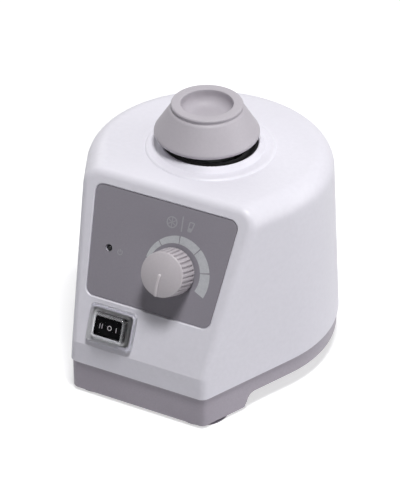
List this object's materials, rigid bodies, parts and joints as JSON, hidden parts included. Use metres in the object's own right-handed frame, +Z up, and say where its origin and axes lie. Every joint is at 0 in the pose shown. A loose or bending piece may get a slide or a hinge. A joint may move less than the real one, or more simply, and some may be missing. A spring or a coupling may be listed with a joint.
{
  "type": "vortex mixer",
  "caption": "Bench vortex mixer: round-backed white housing on a grey base, sloping panel with speed knob and booted rocker switch, and a rubber cup that orbits to mix a tube.",
  "frame": {"origin": "on the bench, under the middle of the mixer's width and length", "axes": "+X to the right seen from the front, +Y from the control panel to the back, +Z up"},
  "size_m": [0.127, 0.1408, 0.1286],
  "materials": {
    "white_paint": "white powder coat on a cast housing",
    "grey_base": "grey moulded plastic, fine grain",
    "panel_film": "printed grey film, satin",
    "knob_plastic": "light grey moulded plastic",
    "cup_rubber": "grey moulded rubber, matt",
    "black_rubber": "black moulded rubber",
    "foot_rubber": "grey moulded rubber, soft",
    "black_plastic": "black moulded plastic, half gloss",
    "clear_silicone": "clear soft silicone",
    "lamp_lens": "tinted lamp lens",
    "steel": "zinc-plated steel",
    "bearing_steel": "ground bearing steel",
    "lamination_steel": "stacked electrical steel",
    "cast_aluminium": "die-cast aluminium",
    "bronze": "sintered bronze",
    "copper_wire": "enamelled copper winding",
    "pin_brass": "plated brass",
    "board_laminate": "green board laminate",
    "part_plastic": "moulded electrical plastic"
  },
  "bodies": {
    "chassis": {"upper_housing": "white_paint", "base_tray": "grey_base", "rubber_feet": "foot_rubber", "housing_screws": "steel", "ballast_plate": "steel", "support_pillars": "steel", "pillar_nuts": "steel", "rubber_dampers": "black_rubber", "damper_washers": "steel", "damper_screws": "steel", "opening_gasket": "black_rubber", "panel_overlay": "panel_film", "switch_housing": "black_plastic", "switch_terminals": "pin_brass", "switch_boot": "clear_silicone", "power_led": "lamp_lens", "led_spacer": "part_plastic", "potentiometer_body": "cast_aluminium", "potentiometer_nut": "steel", "control_board": "board_laminate", "board_standoffs": "pin_brass", "board_screws": "steel", "filter_capacitors": "part_plastic", "triac": "part_plastic", "heat_sink": "cast_aluminium", "terminal_block": "part_plastic", "power_inlet": "black_plastic", "inlet_pins": "pin_brass", "touch_switch": "part_plastic", "touch_switch_bracket": "steel", "touch_switch_screws": "steel"},
    "motor_carriage": {"carriage_plate": "steel", "stator_core": "lamination_steel", "coil_bobbin": "part_plastic", "motor_coil": "copper_wire", "motor_top_bracket": "cast_aluminium", "motor_bottom_bracket": "cast_aluminium", "shaft_bushes": "bronze", "motor_bolts": "steel", "motor_nuts": "steel"},
    "rotor": {"rotor_core": "lamination_steel", "motor_shaft": "bearing_steel", "eccentric_hub": "steel", "hub_set_screw": "steel", "bearing_inner_ring": "bearing_steel", "bearing_washer": "steel", "bearing_screw": "steel"},
    "ball_cage": {"bearing_balls": "bearing_steel", "bearing_cage": "bronze"},
    "head": {"bearing_outer_ring": "bearing_steel", "cup_carrier": "cast_aluminium", "drip_shield": "black_plastic", "rubber_cup": "cup_rubber"},
    "knob": {"speed_knob": "knob_plastic", "potentiometer_shaft": "bearing_steel"},
    "rocker": {"switch_rocker": "black_plastic"},
    "plunger": {"touch_switch_plunger": "part_plastic"}
  },
  "joints": [
    {"name": "head_press", "type": "slide", "parent": "chassis", "child": "motor_carriage", "axis": [0, 0, -1], "range_m": [0, 0.0015], "stiffness_N_per_m": 10000, "springref_m": -0.002, "deforming": ["rubber_dampers"]},
    {"name": "motor_spin", "type": "hinge", "parent": "motor_carriage", "child": "rotor", "pos_m": [0, 0.0069, 0.08], "axis": [0, 0, 1], "continuous": true},
    {"name": "cup_swivel", "type": "hinge", "parent": "rotor", "child": "head", "pos_m": [-0.002, 0.0069, 0.1], "axis": [0, 0, 1], "continuous": true},
    {"name": "bearing_roll", "type": "hinge", "parent": "rotor", "child": "ball_cage", "pos_m": [-0.002, 0.0069, 0.1], "axis": [0, 0, 1], "continuous": true},
    {"name": "speed_turn", "type": "hinge", "parent": "chassis", "child": "knob", "pos_m": [0.0096, -0.04959, 0.07126], "axis": [0, 0.9191, -0.3939], "range_deg": [0, 300]},
    {"name": "rocker_tilt", "type": "hinge", "parent": "chassis", "child": "rocker", "pos_m": [-0.0154, -0.06252, 0.03981], "axis": [0, 0.3939, 0.9191], "range_deg": [-10, 10]},
    {"name": "plunger_travel", "type": "slide", "parent": "chassis", "child": "plunger", "axis": [0, 0, -1], "range_m": [0, 0.0015]}
  ],
  "couplings": [
    {"joint": "cup_swivel", "follows": "motor_spin", "ratio": -1},
    {"joint": "bearing_roll", "follows": "motor_spin", "ratio": -0.62667},
    {"joint": "plunger_travel", "follows": "head_press", "ratio": 1}
  ]
}
